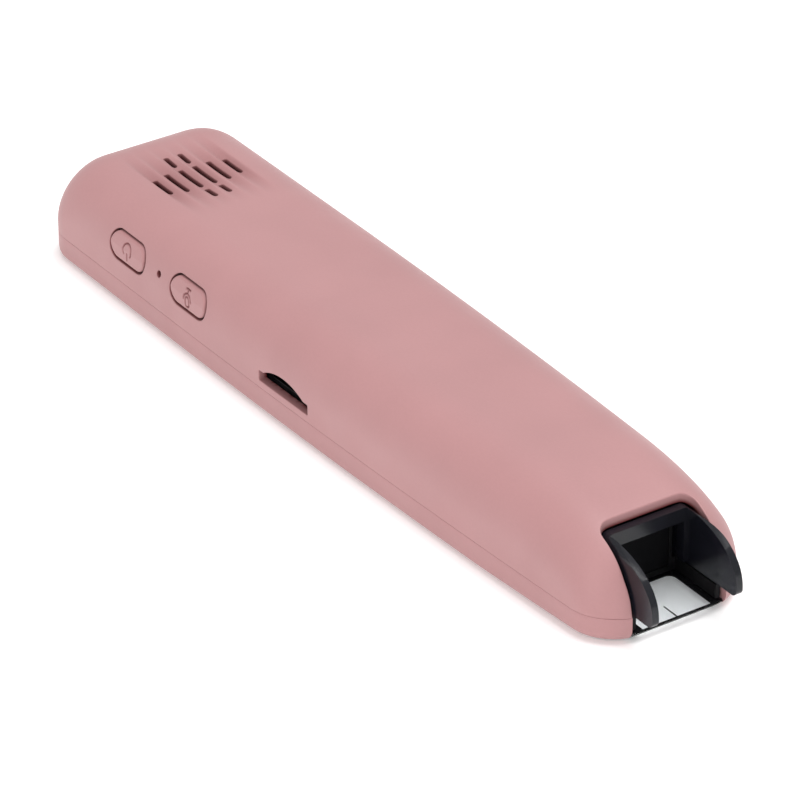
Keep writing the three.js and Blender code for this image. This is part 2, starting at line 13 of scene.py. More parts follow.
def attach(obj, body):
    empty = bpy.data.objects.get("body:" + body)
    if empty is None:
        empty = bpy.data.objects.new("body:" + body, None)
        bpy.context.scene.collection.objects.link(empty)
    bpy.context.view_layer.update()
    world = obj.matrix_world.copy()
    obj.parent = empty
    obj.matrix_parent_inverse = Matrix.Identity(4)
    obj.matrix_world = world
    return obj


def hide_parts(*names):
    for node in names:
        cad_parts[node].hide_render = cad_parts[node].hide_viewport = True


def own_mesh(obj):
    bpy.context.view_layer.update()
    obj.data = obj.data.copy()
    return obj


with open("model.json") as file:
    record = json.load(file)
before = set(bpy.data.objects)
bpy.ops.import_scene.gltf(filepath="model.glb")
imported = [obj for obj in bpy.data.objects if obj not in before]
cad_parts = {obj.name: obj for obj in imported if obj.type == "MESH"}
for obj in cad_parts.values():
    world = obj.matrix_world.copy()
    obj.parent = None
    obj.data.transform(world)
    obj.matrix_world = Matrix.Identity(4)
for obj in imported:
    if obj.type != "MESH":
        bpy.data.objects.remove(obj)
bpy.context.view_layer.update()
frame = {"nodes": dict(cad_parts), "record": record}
MM = 0.001

# ---- Camera: the azimuth, elevation, roll and distance of the view, aimed near the pen's middle

VIEW_AZIMUTH = math.radians(56.21)
VIEW_ELEVATION = math.radians(30.30)
VIEW_ROLL = math.radians(-0.46)
VIEW_DISTANCE = 694.5
VIEW_OFFSET = (-0.90, -1.77)
LENS = 225


def add_object(name, data):
    made = bpy.data.objects.new(name, data)
    bpy.context.scene.collection.objects.link(made)
    return made


def make_camera():
    sin_a, cos_a = math.sin(VIEW_AZIMUTH), math.cos(VIEW_AZIMUTH)
    sin_e, cos_e = math.sin(VIEW_ELEVATION), math.cos(VIEW_ELEVATION)
    right = Vector((cos_a, sin_a, 0))
    up = Vector((-sin_a * sin_e, cos_a * sin_e, cos_e))
    back = Vector((sin_a * cos_e, -cos_a * cos_e, sin_e))
    rolled_right = right * math.cos(VIEW_ROLL) + up * math.sin(VIEW_ROLL)
    rolled_up = up * math.cos(VIEW_ROLL) - right * math.sin(VIEW_ROLL)
    place = back * VIEW_DISTANCE - rolled_right * VIEW_OFFSET[0] - rolled_up * VIEW_OFFSET[1]
    data = bpy.data.cameras.new("camera")
    data.lens = LENS
    data.sensor_width = 36
    data.clip_start = 0.05
    data.clip_end = 20
    camera = add_object("camera", data)
    turned = Matrix((rolled_right, rolled_up, back)).transposed().to_4x4()
    camera.matrix_world = Matrix.Translation(place * MM) @ turned
    bpy.context.scene.camera = camera


make_camera()

# ---- Driving dimensions in millimetres. They are the CAD frame's, apart from the grille's slots and grooves.

REAR_X = -70.0
NOSE_X = 66.5
THICKNESS = 15.8
HALF_WIDTH = 15.15
BOW_START_X = -30
BOW_RADIUS = 1680
REAR_CORNER = 6.4
NOSE_CORNER = 6.9
REAR_ROLL = 9.7
NOSE_START_X = 40
NOSE_POWER = 2.6
NOSE_FOOT_Z = 4.0
BACK_FILLET = 8.2
NOSE_FILLET = 8.0
FOOT_FILLET = 1.26
NOSE_FOOT_FILLET = 2.1
FOOT_LIMIT = 1.5  # how far inwards the foot's round may run before the pane's pocket cuts it off
WALL = 1.3
SHELL_Z = 3.915
FRAME_Z = 3.885

MOUTH_X = 57.8
MOUTH_HALF = 7.55
MOUTH_CORNER = 1.7
TONGUE_CUT = 7.55
SIDE_KEY = {"length": 9.6, "height": 4.6, "z": 9.5}
KEY_XS = {"power": -45.9, "voice": -29.6}
MIC_X, MIC_Z, MIC_RADIUS = -37.4, 9.7, 0.5
CARD = {"x0": -11.0, "x1": 1.0, "z0": 5.0, "z1": 6.6}
NOTCH = {"x": -5.0, "radius": 10.0, "rise": 1.3}
USB = {"z": 6.65, "half_width": 4.65, "half_height": 1.7}
GRILLE_X = -50.5
GRILLE_PITCH = 2.37
GRILLE_SLOT = 0.8  # width; the CAD slots are 0.95 wide
GRILLE_BRIDGE = 0.98
GRILLE_ROWS = ((4.9,), (6.35,), (3, 6.24, 3), (3, 6.24, 3), (6.35,), (4.9,))
VALLEY_DEPTH = 0.7  # of the grooves, which the CAD leaves out
GROOVE_SHADE = 0.34  # painted shade at the bottom of the grooves
VALLEY_SHARPNESS = 0.5  # below 1 the ridges between the grooves are narrower than the grooves
VALLEY_REACH = 12.5
VALLEY_SIDE = 6.7


# ---- The housing's form

def rise_of(radius, offset):
    """Height of a circle of that radius over its diameter, at an offset from the centre."""
    return np.sqrt(np.maximum(0, radius ** 2 - np.minimum(offset, radius) ** 2))


def nose_share(x):
    """Share of the way from the nose's start to its front."""
    return np.clip((x - NOSE_START_X) / (NOSE_X - NOSE_START_X), 0, 1)


def foot_at(x):
    """Radius of the round between the side and the screen face."""
    return FOOT_FILLET + (NOSE_FOOT_FILLET - FOOT_FILLET) * nose_share(x)


class Form:
    """The pen's outer surface above the screen face, or the one that lies inset inside it."""

    def __init__(self, inset=0.0):
        self.inset = inset

    def half(self, x):
        bow = np.maximum(0, x - BOW_START_X)
        rear = np.maximum(0, REAR_X + REAR_CORNER - x)
        front = np.maximum(0, x - (NOSE_X - NOSE_CORNER))
        half = HALF_WIDTH - self.inset - bow ** 2 / (2 * BOW_RADIUS)
        half = half + rise_of(REAR_CORNER - self.inset, rear) - (REAR_CORNER - self.inset)
        return half + rise_of(NOSE_CORNER - self.inset, front) - (NOSE_CORNER - self.inset)

    def top(self, x):
        roll = REAR_ROLL - self.inset
        rear = np.maximum(0, REAR_X + REAR_ROLL - x)
        back = THICKNESS - self.inset - roll + rise_of(roll, rear)
        along = np.clip((x - NOSE_START_X) / (NOSE_X - self.inset - NOSE_START_X), 0, 1)
        nose = (1 - along ** NOSE_POWER) ** (1 / NOSE_POWER)
        return np.where(rear > 0, back, NOSE_FOOT_Z + (THICKNESS - self.inset - NOSE_FOOT_Z) * nose)

    def bottom(self, x):
        foot = foot_at(x)
        from_end = np.minimum(x - (REAR_X + self.inset), NOSE_X - self.inset - x)
        return self.inset + foot - rise_of(foot, np.maximum(0, foot - from_end))

    def fillet(self, x):
        wanted = BACK_FILLET + (NOSE_FILLET - BACK_FILLET) * nose_share(x) - self.inset
        tall = self.top(x) - self.bottom(x)
        foot = np.minimum(foot_at(x), tall * 0.3)
        return np.minimum(np.minimum(wanted, self.half(x) * 0.95), (tall - foot) * 0.95)

    def point(self, x, s):
        """The point at x whose arc length across the back, from the middle line, is s."""
        fillet, half, top = self.fillet(x), self.half(x), self.top(x)
        past = np.abs(s) - (half - fillet)
        angle = np.clip(past / fillet, 0, math.pi / 2)
        y = np.where(past < 0, np.abs(s), half - fillet + fillet * np.sin(angle))
        down = np.maximum(0, past - fillet * math.pi / 2)
        z = top - fillet + fillet * np.cos(angle) - down
        return np.stack([x + 0 * s, np.sign(s) * y, z], -1)

    def arc_at_y(self, x, y):
        fillet, half = self.fillet(x), self.half(x)
        past = np.clip((np.abs(y) - (half - fillet)) / fillet, 0, 1)
        s = np.where(past > 0, half - fillet + fillet * np.arcsin(past), np.abs(y))
        return np.sign(y) * s

    def arc_at_z(self, x, z, side):
        fillet, half, top = self.fillet(x), self.half(x), self.top(x)
        above = np.clip((z - (top - fillet)) / fillet, 0, 1)
        down = np.maximum(0, top - fillet - z)
        return side * (half - fillet + fillet * np.arccos(above) + down)

    def side_y(self, x, z):
        """Half the width at height z."""
        fillet, half, top = self.fillet(x), self.half(x), self.top(x)
        above = np.maximum(0, z - (top - fillet))
        return half - fillet + rise_of(fillet, above)

    def rear_x(self, y, z):
        """x of the rear end's surface at (y, z), by halving."""
        low = np.full(np.shape(y), REAR_X + self.inset)
        high = low + 4.0
        for _ in range(34):
            middle = (low + high) / 2
            inside = (z <= self.top(middle)) & (np.abs(y) <= self.side_y(middle, z))
            low = np.where(inside, low, middle)
            high = np.where(inside, middle, high)
        return (low + high) / 2


OUTER = Form()
INNER = Form(WALL)


def halved(low, high, past):
    """Where past(x) turns from true to false, between low and high, by halving."""
    for _ in range(50):
        middle = (low + high) / 2
        if past(middle):
            low = middle
        else:
            high = middle
    return low


# ---- Outlines

def arc_points(cx, cy, radius, start, end, count):
    angles = np.linspace(math.radians(start), math.radians(end), count)
    return np.stack([cx + radius * np.cos(angles), cy + radius * np.sin(angles)], -1)


def rounded_box(x0, x1, y0, y1, r, corner):
    """A rounded rectangle, anticlockwise, with so many points at each corner."""
    return np.concatenate([
        arc_points(x1 - r, y1 - r, r, 0, 90, corner),
        arc_points(x0 + r, y1 - r, r, 90, 180, corner),
        arc_points(x0 + r, y0 + r, r, 180, 270, corner),
        arc_points(x1 - r, y0 + r, r, 270, 360, corner),
    ])


def divided(loop, counts):
    """The loop with each side cut in as many steps as counts says."""
    points = []
    for a, b, steps in zip(loop, np.roll(loop, -1, 0), counts):
        points.extend(a + (b - a) * i / steps for i in range(steps))
    return np.array(points)


def side_counts(loop, spacing):
    """The steps that each side needs so that none is longer than the spacing."""
    lengths = np.linalg.norm(np.roll(loop, -1, 0) - loop, axis=1)
    return np.maximum(1, np.ceil(lengths / spacing - 1e-6)).astype(int)


def grown_pair(outline, grow, spacing):
    """The outline and the same one grown, cut in the same steps. outline is a function of grow."""
    plain = outline(0.0)
    counts = side_counts(plain, spacing)
    return divided(plain, counts), divided(outline(grow), counts)


def card_outline(grow):
    """The card slot with the fingernail arc over it, in (x, z)."""
    r = 0.2 + grow
    x0, x1 = CARD["x0"] - grow, CARD["x1"] + grow
    z0, z1 = CARD["z0"] - grow, CARD["z1"] + grow
    radius = NOTCH["radius"] + grow
    centre_z = CARD["z1"] + NOTCH["rise"] - NOTCH["radius"]
    half = math.degrees(math.acos((z1 - centre_z) / radius))
    return np.concatenate([
        arc_points(x1 - r, z1 - r, r, 0, 90, 5),
        arc_points(NOTCH["x"], centre_z, radius, 90 - half, 90 + half, 15),
        arc_points(x0 + r, z1 - r, r, 90, 180, 5),
        arc_points(x0 + r, z0 + r, r, 180, 270, 5),
        arc_points(x1 - r, z0 + r, r, 270, 360, 5),
    ])


def stadium(x, z, length, height, grow=0.0, half_turn=21):
    """A slot's outline with round ends, anticlockwise."""
    radius = height / 2
    reach = length / 2 - radius
    return np.concatenate([
        arc_points(x + reach, z, radius + grow, -90, 90, half_turn),
        arc_points(x - reach, z, radius + grow, 90, 270, half_turn),
    ])


def grille_slots():
    """(x0, x1, y) of each slot of the speaker grille."""
    slots = []
    for row, lengths in enumerate(GRILLE_ROWS):
        y = (row - (len(GRILLE_ROWS) - 1) / 2) * GRILLE_PITCH
        x = GRILLE_X - (sum(lengths) + GRILLE_BRIDGE * (len(lengths) - 1)) / 2
        for length in lengths:
            slots.append((x, x + length, y))
            x += length + GRILLE_BRIDGE
    return slots


def valley(x, y):
    """Share of their full depth that the grille's grooves have at (x, y)."""
    along = np.clip(np.abs(x - GRILLE_X) / VALLEY_REACH, 0, 1)
    fade = np.cos(along * math.pi / 2) ** 2
    wave = (0.5 * (1 - np.cos(2 * math.pi * y / GRILLE_PITCH))) ** VALLEY_SHARPNESS
    edge = np.clip((VALLEY_SIDE + 0.4 - np.abs(y)) / 0.4, 0, 1)
    return fade * wave * edge * (np.abs(y) < 3 * GRILLE_PITCH)


# ---- Meshes from points and faces

WELD = 0.004  # points closer than this become one

def within(points, loop):
    x, y = points[:, 0], points[:, 1]
    inside = np.zeros(len(points), bool)
    for (x0, y0), (x1, y1) in zip(loop, np.roll(loop, -1, 0)):
        if y0 != y1:
            crosses = (y0 > y) != (y1 > y)
            inside ^= crosses & (x < x0 + (y - y0) * (x1 - x0) / (y1 - y0))
    return inside


def in_region(points, loops):
    """Which points are inside the first loop and outside the others."""
    inside = within(points, loops[0])
    for hole in loops[1:]:
        inside &= ~within(points, hole)
    return inside


def clear_of(points, loops, gap):
    """The points that are at least gap from every loop's line."""
    edge_points = np.concatenate([divided(loop, side_counts(loop, gap * 0.6)) for loop in loops])
    tree = KDTree(len(edge_points))
    for i, (x, y) in enumerate(edge_points):
        tree.insert((x, y, 0), i)
    tree.balance()
    return points[[tree.find((x, y, 0))[2] >= gap for x, y in points]]


def triangulate(loops, spare, gap):
    """Triangles of the region inside the first loop and outside the others, through the spare points."""
    # Blender's vectors are single precision, and both tests below have to see the same outline
    loops = [np.asarray(loop, np.float32).astype(float) for loop in loops]
    spare = clear_of(spare[in_region(spare, loops)], loops, gap)
    edges = []
    start = 0
    for loop in loops:
        count = len(loop)
        edges.extend((start + i, start + (i + 1) % count) for i in range(count))
        start += count
    points = np.concatenate([*loops, spare])
    made = delaunay_2d_cdt([Vector(p) for p in points], edges, [], 0, 1e-7, False)
    flat = np.array([tuple(v) for v in made[0]])
    faces = np.array([tuple(f) for f in made[2]])
    return flat, faces[in_region(flat[faces].mean(1), loops)]


class Soup:
    """Patches of points and faces that meet edge to edge, welded into one mesh at the end."""

    def __init__(self):
        self.points = []
        self.faces = []
        self.recess = []
        self.count = 0

    def patch(self, points, faces, recess=0.0):
        """The last argument is painted shade, point by point: how far into a hole or groove the point lies,
        which the material turns into darker colour.
        """
        self.points.append(np.asarray(points, float))
        self.recess.append(np.zeros(len(points)) + recess)
        self.faces.extend(tuple(int(i) + self.count for i in face) for face in faces)
        self.count += len(points)

    def strip(self, rows, closed=True, recess=None):
        """Faces between rows of points of one length. The painted shade has a value, or one per point, for
        each row.
        """
        rows = [np.asarray(row, float) for row in rows]
        n = len(rows[0])
        faces = []
        for r in range(len(rows) - 1):
            for i in range(n if closed else n - 1):
                j = (i + 1) % n
                faces.append((r * n + i, r * n + j, (r + 1) * n + j, (r + 1) * n + i))
        recess = [0] * len(rows) if recess is None else recess
        self.patch(np.concatenate(rows), faces, np.concatenate([np.zeros(n) + value for value in recess]))

    def cap(self, *rows):
        """One flat face over each row of points."""
        for row in rows:
            self.patch(row, [range(len(row))])

    def build(self, name, sharp=40):
        mesh = bpy.data.meshes.new(name)
        mesh.from_pydata((np.concatenate(self.points) * MM).tolist(), [], self.faces)
        # The painted shade goes on the mesh as a point attribute, which the material darkens the colour by
        recess = mesh.attributes.new("recess", "FLOAT", "POINT")
        recess.data.foreach_set("value", np.concatenate(self.recess))
        return finish_mesh(mesh, name, sharp)


def finish_mesh(mesh, name, sharp):
    """Welds the patches, turns every face outwards and shades the mesh smooth between its sharp edges."""
    work = bmesh.new()
    work.from_mesh(mesh)
    bmesh.ops.remove_doubles(work, verts=work.verts, dist=WELD * MM)
    bmesh.ops.dissolve_degenerate(work, edges=work.edges, dist=1e-7)
    bmesh.ops.recalc_face_normals(work, faces=work.faces)
    open_edges = sum(1 for edge in work.edges if len(edge.link_faces) != 2)
    work.to_mesh(mesh)
    work.free()
    shade_smooth(mesh, sharp)
    print("piece", name, len(mesh.polygons), "faces", open_edges, "open edges")
    return add_object(name, mesh)


def shade_smooth(mesh, sharp):
    mesh.polygons.foreach_set("use_smooth", [True] * len(mesh.polygons))
    mesh.set_sharp_from_angle(angle=math.radians(sharp))


def rim(soup, outside, corner, inside, radius, steps=4, skin=0.0, wall=(0.3, 0.75, 1)):
    """Rounds the edge from the skin's points over the corner's, then a wall to the inner points.

    skin is the painted shade at the outside points, and wall the painted shade at the wall's top, middle and
    inner end.
    """
    run = inside - corner
    depth = np.linalg.norm(run, axis=1, keepdims=True)
    low = corner + run * np.minimum(1.0, radius / np.maximum(depth, 1e-6))
    rows = []
    for i in range(steps + 1):
        t = i / steps
        rows.append((1 - t) ** 2 * outside + 2 * t * (1 - t) * corner + t ** 2 * low)
    rounding = [skin + (wall[0] - skin) * i / steps for i in range(steps + 1)]
    middle = low + (inside - low) * 0.5
    soup.strip([*rows, middle, inside], recess=[*rounding, *wall[1:]])


# ---- Rear shell

SEAM_X = -68.0  # forward of it the skin is drawn by (length, arc), behind it by (y, z)
GRID = 0.62
FINE_GRID = 0.21
INNER_GRID = 2.6
SEAM_COUNT = 75  # points across the seam
REAR_EDGE_COUNT = 26
SHELL_RIMS = {
    "mouth": 0.22, "parting": 0.035, "slot": 0.12, "key": 0.14, "mic": 0.1, "card": 0.14, "port": 0.22,
}
# Painted shade at the top, middle and inner end of the walls, by kind of hole
HOLE_WALL_SHADE = {"top": (0.4, 0.75, 1), "side": (0.7, 0.95, 1), "card": (0.12, 0.2, 0.5)}


def corner_x(form, y, z):
    """x at the nose where the surface at height z has come in to y."""
    return halved(60.0, NOSE_X - form.inset, lambda x: form.side_y(x, z) > y)


class Chart:
    """Turns x into length along the crown and back, so that the grid stays even where the back dives."""

    def __init__(self, form):
        self.form = form
        self.xs = np.linspace(SEAM_X, NOSE_X - form.inset - 0.1, 8000)
        steps = np.hypot(np.diff(self.xs), np.diff(form.top(self.xs)))
        self.lengths = np.concatenate([[0], np.cumsum(steps)])

    def flat(self, x, s):
        return np.stack([np.interp(x, self.xs, self.lengths), s], -1)

    def x_at(self, length):
        return np.interp(length, self.lengths, self.xs)

    def lift(self, flat):
        x = self.x_at(flat[:, 0])
        points = self.form.point(x, flat[:, 1])
        if self.form is OUTER:
            points[:, 2] -= VALLEY_DEPTH * self.groove(points)
        return points

    def groove(self, points):
        """The grille's groove at each lifted point, as a share of its depth."""
        return np.where(points[:, 2] > THICKNESS - 1, valley(points[:, 0], points[:, 1]), 0)


def weights_of(chart, x0, x1, spacing):
    """Shares of the way from x0 to x1 at even steps along the crown."""
    a, b = np.interp([x0, x1], chart.xs, chart.lengths)
    count = max(2, int(abs(b - a) / spacing))
    return (chart.x_at(np.linspace(a, b, count + 1)) - x0) / (x1 - x0)


def shell_edge(form, grow_mouth, grow_parting, weights):
    """The shell's edge from the seam round nose and mouth and back, as (x, s), and the side's count."""
    run, cheek = weights
    z = SHELL_Z + grow_parting
    half = MOUTH_HALF + grow_mouth
    end = corner_x(form, half, z)
    low_x = SEAM_X + (end - SEAM_X) * run
    low_s = form.arc_at_z(low_x, z, 1)
    r = MOUTH_CORNER + grow_mouth
    inner_x = MOUTH_X + MOUTH_CORNER
    side_x = end + (inner_x - end) * cheek
    corner = arc_points(inner_x, half - r, r, 90, 180, 8)
    across = np.linspace(half - r, r - half, 22)
    upper = np.concatenate([
        np.stack([side_x[1:], np.full(len(side_x) - 1, half)], -1),
        corner[1:],
        np.stack([np.full(10, MOUTH_X - grow_mouth), across[1:11]], -1),
    ])
    quarter = np.concatenate([
        np.stack([low_x, low_s], -1),
        np.stack([upper[:, 0], form.arc_at_y(upper[:, 0], upper[:, 1])], -1),
    ])
    return np.concatenate([quarter * (1, -1), quarter[::-1]]), len(low_x)


def rear_edge(form, grow):
    """The shell's edge round the rear end, from +Y to -Y, as (y, z)."""
    z = SHELL_Z + grow
    y = form.side_y(SEAM_X, z) * np.cos(np.linspace(0, math.pi, REAR_EDGE_COUNT))
    return np.stack([y, np.full(REAR_EDGE_COUNT, z)], -1)


def rear_lift(form, flat):
    """The rear end's points over (y, z)."""
    return np.stack([form.rear_x(flat[:, 0], flat[:, 1]), flat[:, 0], flat[:, 1]], -1)


def holes_of_shell():
    """(kind, rim radius, spacing, outline as a function of growth) of each hole before the seam."""
    holes = []
    for x0, x1, y in grille_slots():
        middle, length = (x0 + x1) / 2, x1 - x0
        holes.append(("top", SHELL_RIMS["slot"], 0.35,
                      lambda grow, m=middle, v=y, n=length: stadium(m, v, n, GRILLE_SLOT, grow, 13)))
    for x in KEY_XS.values():
        holes.append(("side", SHELL_RIMS["key"], 0.5, lambda grow, m=x: stadium(
            m, SIDE_KEY["z"], SIDE_KEY["length"], SIDE_KEY["height"], grow)))
    holes.append(("side", SHELL_RIMS["mic"], 0.5,
                  lambda grow: arc_points(MIC_X, MIC_Z, MIC_RADIUS + grow, 0, 345, 24)))
    holes.append(("card", SHELL_RIMS["card"], 0.4, card_outline))
    return holes


def hole_flat(chart, kind, outline):
    """The outline, given in (x, y) for the top and (x, z) for the side, on the chart."""
    x, v = outline[:, 0], outline[:, 1]
    if kind == "top":
        return chart.flat(x, chart.form.arc_at_y(x, v))
    return chart.flat(x, chart.form.arc_at_z(x, v, -1))


def grid_of(u0, u1, v0, v1, step):
    """Points of a grid whose every other row is shifted by half a step."""
    u, v = np.meshgrid(np.arange(u0, u1, step), np.arange(v0, v1, step))
    u[1::2] += step / 2
    return np.stack([u.ravel(), v.ravel()], -1)


def port_outline(grow):
    return stadium(0, USB["z"], 2 * USB["half_width"], 2 * USB["half_height"], grow, 17)


def shell_skin():
    soup = Soup()
    outer, inner = Chart(OUTER), Chart(INNER)
    rim_m, rim_p = SHELL_RIMS["mouth"], SHELL_RIMS["parting"]
    end = corner_x(OUTER, MOUTH_HALF, SHELL_Z)
    inner_corner_x = MOUTH_X + MOUTH_CORNER
    weights = (weights_of(outer, SEAM_X, end, 0.7), weights_of(outer, end, inner_corner_x, 0.45))
    corner_edge, low_count = shell_edge(OUTER, 0, 0, weights)
    out_edge, _ = shell_edge(OUTER, rim_m, rim_p, weights)
    in_edge, _ = shell_edge(INNER, 0, 0, weights)

    rear_out, rear_corner, rear_in = rear_edge(OUTER, rim_p), rear_edge(OUTER, 0), rear_edge(INNER, 0)
    seam_s = np.linspace(1, -1, SEAM_COUNT)
    port_plain, port_grown = grown_pair(port_outline, SHELL_RIMS["port"], 0.5)

    rims = []
    for kind, radius, spacing, outline in holes_of_shell():
        plain, grown = grown_pair(outline, radius, spacing)
        rims.append((kind, radius, plain, grown))

    fine_x0, fine_x1 = GRILLE_X - VALLEY_REACH - 0.2, GRILLE_X + VALLEY_REACH + 0.2
    sides = ((outer, out_edge, rear_out, GRID), (inner, in_edge, rear_in, INNER_GRID))
    for chart, edge, rear, top_step in sides:
        form = chart.form
        is_outer = form is OUTER
        seam = np.stack([np.full(SEAM_COUNT, SEAM_X), seam_s * edge[-1, 1]], -1)[1:-1]
        boundary = np.concatenate([edge, seam])
        loops = [chart.flat(boundary[:, 0], boundary[:, 1])]
        loops += [hole_flat(chart, kind, grown if is_outer else plain) for kind, _, plain, grown in rims]
        low, high = loops[0].min(0), loops[0].max(0)
        spare = grid_of(low[0], high[0], low[1], high[1], top_step)
        if is_outer:
            g0, g1 = np.interp([fine_x0, fine_x1], chart.xs, chart.lengths)
            reach = 3 * GRILLE_PITCH + 0.1
            coarse = (spare[:, 0] < g0) | (spare[:, 0] > g1) | (np.abs(spare[:, 1]) > reach)
            spare = np.concatenate([spare[coarse], grid_of(g0, g1, -reach, reach, FINE_GRID)])
        flat, faces = triangulate(loops, spare, 0.12 if is_outer else 0.5)
        points = chart.lift(flat)
        # Painted shade: the outer skin darkens in the grille's grooves, and the inner skin is painted fully
        # shaded
        soup.patch(points, faces, recess=GROOVE_SHADE * chart.groove(points) if is_outer else 1)

        ring = form.point(np.full(SEAM_COUNT, SEAM_X), seam_s * edge[-1, 1])[:, 1:]
        rear_loop = np.concatenate([rear[::-1], ring[1:-1]])
        low, high = rear_loop.min(0), rear_loop.max(0)
        spare = grid_of(low[0], high[0], low[1], high[1], 0.5 if is_outer else 1.5)
        flat, faces = triangulate([rear_loop, port_grown if is_outer else port_plain], spare, 0.2)
        # The rear end's inner skin is painted fully shaded too
        soup.patch(rear_lift(form, flat), faces, recess=0 if is_outer else 1)

    def all_round(form, edge, rear):
        return np.concatenate([form.point(edge[:, 0], edge[:, 1]), rear_lift(form, rear)[1:-1]])

    radius = np.full((len(out_edge) + len(rear_out) - 2, 1), rim_p)
    radius[low_count:len(out_edge) - low_count] = rim_m
    # Painted shade down the walls of the mouth and the parting edge, dark at their inner edge
    rim(soup, all_round(OUTER, out_edge, rear_out), all_round(OUTER, corner_edge, rear_corner),
        all_round(INNER, in_edge, rear_in), radius, wall=(0, 0.1, 1))
    rim(soup, rear_lift(OUTER, port_grown), rear_lift(OUTER, port_plain), rear_lift(INNER, port_plain),
        SHELL_RIMS["port"])
    for kind, r, plain, grown in rims:
        outside = outer.lift(hole_flat(outer, kind, grown))
        corner, inside = (chart.lift(hole_flat(chart, kind, plain)) for chart in (outer, inner))
        # Painted shade on the holes' walls, starting from the grooves' painted shade at the outer edge
        skin = GROOVE_SHADE * outer.groove(outside)
        rim(soup, outside, corner, inside, r, skin=skin, wall=HOLE_WALL_SHADE[kind])
    return soup.build("shell_skin")


# ---- Front frame: one profile swept round the plan outline, open at the tip

PLAN_COUNTS = (9, 90, 10, 14)  # points along the nose's corner, the side, the rear corner and the rear end
FRAME_FACE_Z = 3.0
FRAME_WALL = 1.6
FRAME_LIP = {"bevel": 0.03, "height": 0.1}
FRAME_SHELF = {"inset": 3.2, "z": 1.35, "top": 2.3}


def plan_run(form_inset, tip_half):
    """Half of the plan outline (y > 0), from the tip's cut to the middle of the rear end."""
    form = Form(form_inset)
    nose_n, side_n, corner_n, rear_n = PLAN_COUNTS
    nose_r, rear_r = NOSE_CORNER - form_inset, REAR_CORNER - form_inset
    nose_x, rear_x = NOSE_X - NOSE_CORNER, REAR_X + REAR_CORNER
    cut_x = halved(nose_x, nose_x + nose_r, lambda x: form.half(x) > tip_half)
    turn = math.asin(min(1, (cut_x - nose_x) / nose_r))
    nose = nose_x + nose_r * np.sin(np.linspace(turn, 0, nose_n))
    side = np.linspace(nose_x, rear_x, side_n)[1:]
    corner = rear_x - rear_r * np.sin(np.linspace(0, math.pi / 2, corner_n))[1:]
    x = np.concatenate([nose, side, corner])
    y = form.half(x)
    y[0] = tip_half
    rear = np.linspace(y[-1], 0, rear_n)[1:]
    return np.concatenate([np.stack([x, y], -1), np.stack([np.full(len(rear), x[-1]), rear], -1)])


def frame_profile(foot):
    """(inset, z) round the section, from the outer face's top edge, at each of the foot's radii."""
    edge = SHELL_RIMS["parting"]
    turn = np.arccos(1 - np.minimum(FOOT_LIMIT, foot) / foot)
    curve = [(foot - foot * np.cos(turn * t), foot - foot * np.sin(turn * t)) for t in np.linspace(0, 1, 9)]
    low = curve[-1][1]
    wall, lip, shelf = FRAME_WALL, FRAME_LIP["bevel"], FRAME_SHELF["inset"]
    shelf_z, shelf_top = FRAME_SHELF["z"], FRAME_SHELF["top"]
    return [
        (edge, FRAME_Z), (edge * 0.3, FRAME_Z - edge * 0.3), (0, FRAME_Z - edge), (0, FRAME_FACE_Z), *curve,
        (FOOT_LIMIT, low), (wall - lip, low + lip), (wall, low + FRAME_LIP["height"]),
        (wall, shelf_z), (shelf, shelf_z), (shelf, shelf_top), (wall, shelf_top), (wall, FRAME_Z),
    ]


def frame_skin():
    soup = Soup()
    columns = []
    outer, limit = plan_run(0, TONGUE_CUT), plan_run(FOOT_LIMIT, TONGUE_CUT)
    for inset, z in frame_profile(foot_at(outer[:, 0])):
        if np.size(inset) > 1:
            half = outer + (limit - outer) * inset[:, None] / FOOT_LIMIT
        else:
            half = plan_run(inset, TONGUE_CUT)
        half = np.concatenate([half, np.zeros((len(half), 1)) + np.reshape(z, (-1, 1))], 1)
        columns.append(np.concatenate([half, half[-2::-1] * (1, -1, 1)]))
    soup.strip([*columns, columns[0]], closed=False)
    soup.cap(*([column[i] for column in columns] for i in (0, -1)))
    return soup.build("frame_skin", sharp=35)


# ---- Pane

PANE = {"top": 1.1, "inset": 1.72, "tongue_half": 7.35, "tongue_inset": 0.2, "edge": 0.1}


def pane_outline(shrink, z):
    """The pane's outline at height z. The tongue's front follows the foot's round."""
    foot = NOSE_FOOT_FILLET
    under = min(FOOT_LIMIT - 0.2, foot - math.sqrt(foot ** 2 - (foot - z) ** 2))
    body = plan_run(PANE["inset"] + shrink, PANE["tongue_half"] - shrink)
    tongue_form = Form(PANE["tongue_inset"] + shrink + under)
    radius = NOSE_CORNER - tongue_form.inset
    nose_x = NOSE_X - NOSE_CORNER
    base = tongue_form.half(nose_x) - radius
    start = math.asin(min(1, (PANE["tongue_half"] - shrink - base) / radius))
    angles = np.linspace(start, 0, 8)
    tip = np.stack([nose_x + radius * np.cos(angles), base + radius * np.sin(angles)], -1)
    across = np.stack([np.full(9, tip[-1, 0]), np.linspace(base, 0, 9)], -1)[1:]
    half = np.concatenate([across[::-1], tip[::-1], body])
    return np.concatenate([half, half[-2:0:-1] * (1, -1)])


